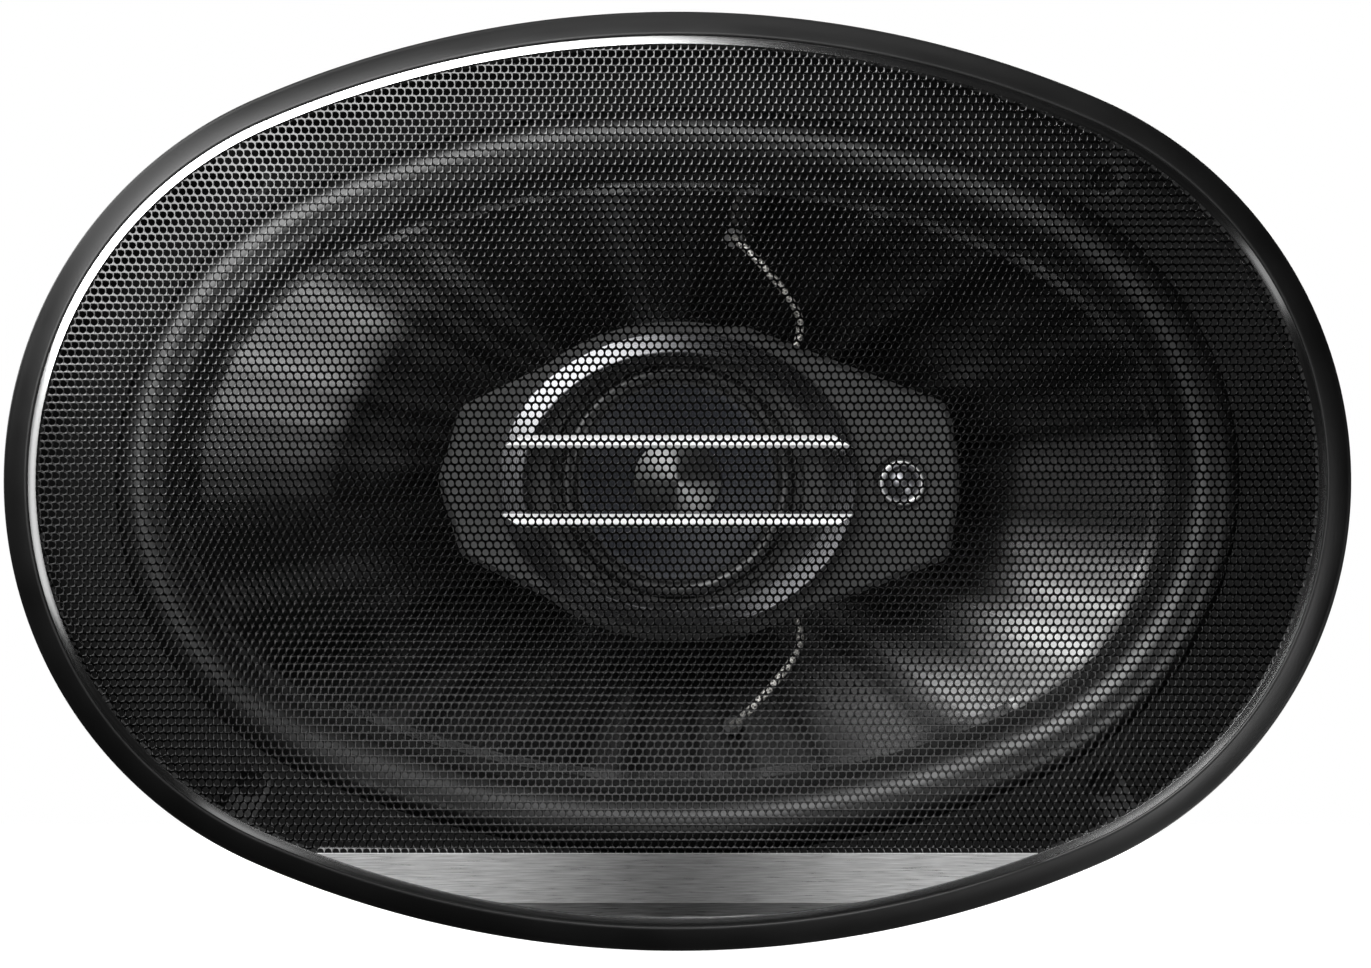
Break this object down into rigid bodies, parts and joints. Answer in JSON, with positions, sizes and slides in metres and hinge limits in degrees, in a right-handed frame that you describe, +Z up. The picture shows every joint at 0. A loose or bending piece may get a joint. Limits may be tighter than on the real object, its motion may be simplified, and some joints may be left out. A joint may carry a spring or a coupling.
{
  "type": "coaxial car speaker",
  "caption": "Oval coaxial car loudspeaker with a perforated grille, woofer cone, centre midrange, small tweeter and rear magnet.",
  "frame": {"origin": "centre of the four-screw pattern, in the plane of the panel the speaker is screwed to (the rear gasket's rear face)", "axes": "+Z up as mounted, +X to the right seen from the front along the long axis, -Y out of the panel towards the listener, +Y back into the panel"},
  "size_m": [0.243, 0.1005, 0.1694],
  "materials": {
    "black_frame": "satin black",
    "satin_trim": "satin bevel",
    "black_mesh": "semi-gloss black paint",
    "brushed_plate": "brushed lengthways",
    "soft_rubber": "matt black",
    "basket_paint": "black powder coat",
    "rivet_steel": "zinc plated",
    "cone_black": "satin, fine concentric grooves",
    "surround_rubber": "satin black",
    "spider_cloth": "woven, resin dipped",
    "coil_former": "matt",
    "copper_wire": "enamelled copper",
    "plated_steel": "zinc plated",
    "ferrite": "dull grey ceramic",
    "black_steel": "black chromate",
    "housing_plastic": "satin charcoal",
    "bezel_metal": "satin gunmetal",
    "bar_chrome": "polished",
    "mid_cone_cloth": "dark woven",
    "spun_metal": "spun, satin",
    "tweeter_film": "fine satin film",
    "tweeter_chrome": "polished",
    "braid": "tinned braid",
    "board_fibre": "phenolic board",
    "terminal_tin": "tin plated",
    "capacitor_film": "varnished film"
  },
  "bodies": {
    "frame": {"basket": "basket_paint", "basket_rivets": "rivet_steel", "front_gasket": "soft_rubber", "rear_gasket": "soft_rubber", "surround": "surround_rubber", "spider": "spider_cloth", "front_lead_upper": "braid", "front_lead_lower": "braid", "rear_lead_upper": "braid", "rear_lead_lower": "braid", "top_plate": "plated_steel", "magnet": "ferrite", "yoke": "black_steel", "post_screw": "rivet_steel", "centre_post": "plated_steel", "housing": "housing_plastic", "mid_trim_ring": "bezel_metal", "mid_bars": "bar_chrome", "mid_frame": "black_steel", "mid_surround": "surround_rubber", "mid_yoke": "plated_steel", "mid_magnet": "plated_steel", "mid_top_plate": "plated_steel", "tweeter_case": "black_steel", "tweeter_magnet": "plated_steel", "tweeter_pole_plate": "plated_steel", "tweeter_suspension": "tweeter_film", "tweeter_ring": "tweeter_chrome", "terminal_board": "board_fibre", "terminal_positive": "terminal_tin", "terminal_negative": "terminal_tin", "terminal_rivets": "rivet_steel", "capacitor_mid": "capacitor_film", "capacitor_tweeter": "capacitor_film"},
    "woofer": {"cone": "cone_black", "cone_eyelets": "rivet_steel", "voice_coil_former": "coil_former", "voice_coil": "copper_wire"},
    "midrange": {"mid_cone": "mid_cone_cloth", "mid_dust_cap": "spun_metal", "mid_voice_coil": "copper_wire"},
    "tweeter": {"tweeter_dome": "tweeter_film", "tweeter_voice_coil": "copper_wire"},
    "grille": {"grille_frame": "black_frame", "grille_trim_ring": "satin_trim", "grille_mesh": "black_mesh", "name_plate": "brushed_plate"}
  },
  "joints": [
    {"name": "woofer_travel", "type": "slide", "parent": "frame", "child": "woofer", "axis": [0, -1, 0], "range_m": [-0.004, 0.004], "stiffness_N_per_m": 2500, "deforming": ["surround", "spider", "front_lead_upper", "front_lead_lower", "rear_lead_upper", "rear_lead_lower"]},
    {"name": "midrange_travel", "type": "slide", "parent": "frame", "child": "midrange", "axis": [0, -1, 0], "range_m": [-0.0005, 0.0005], "stiffness_N_per_m": 200, "deforming": ["mid_surround"]},
    {"name": "tweeter_travel", "type": "slide", "parent": "frame", "child": "tweeter", "axis": [0, -1, 0], "range_m": [-0.00015, 0.00015], "stiffness_N_per_m": 15, "deforming": ["tweeter_suspension"]},
    {"name": "grille_lift_off", "type": "slide", "parent": "frame", "child": "grille", "axis": [0, -1, 0], "range_m": [0, 0.04]}
  ]
}
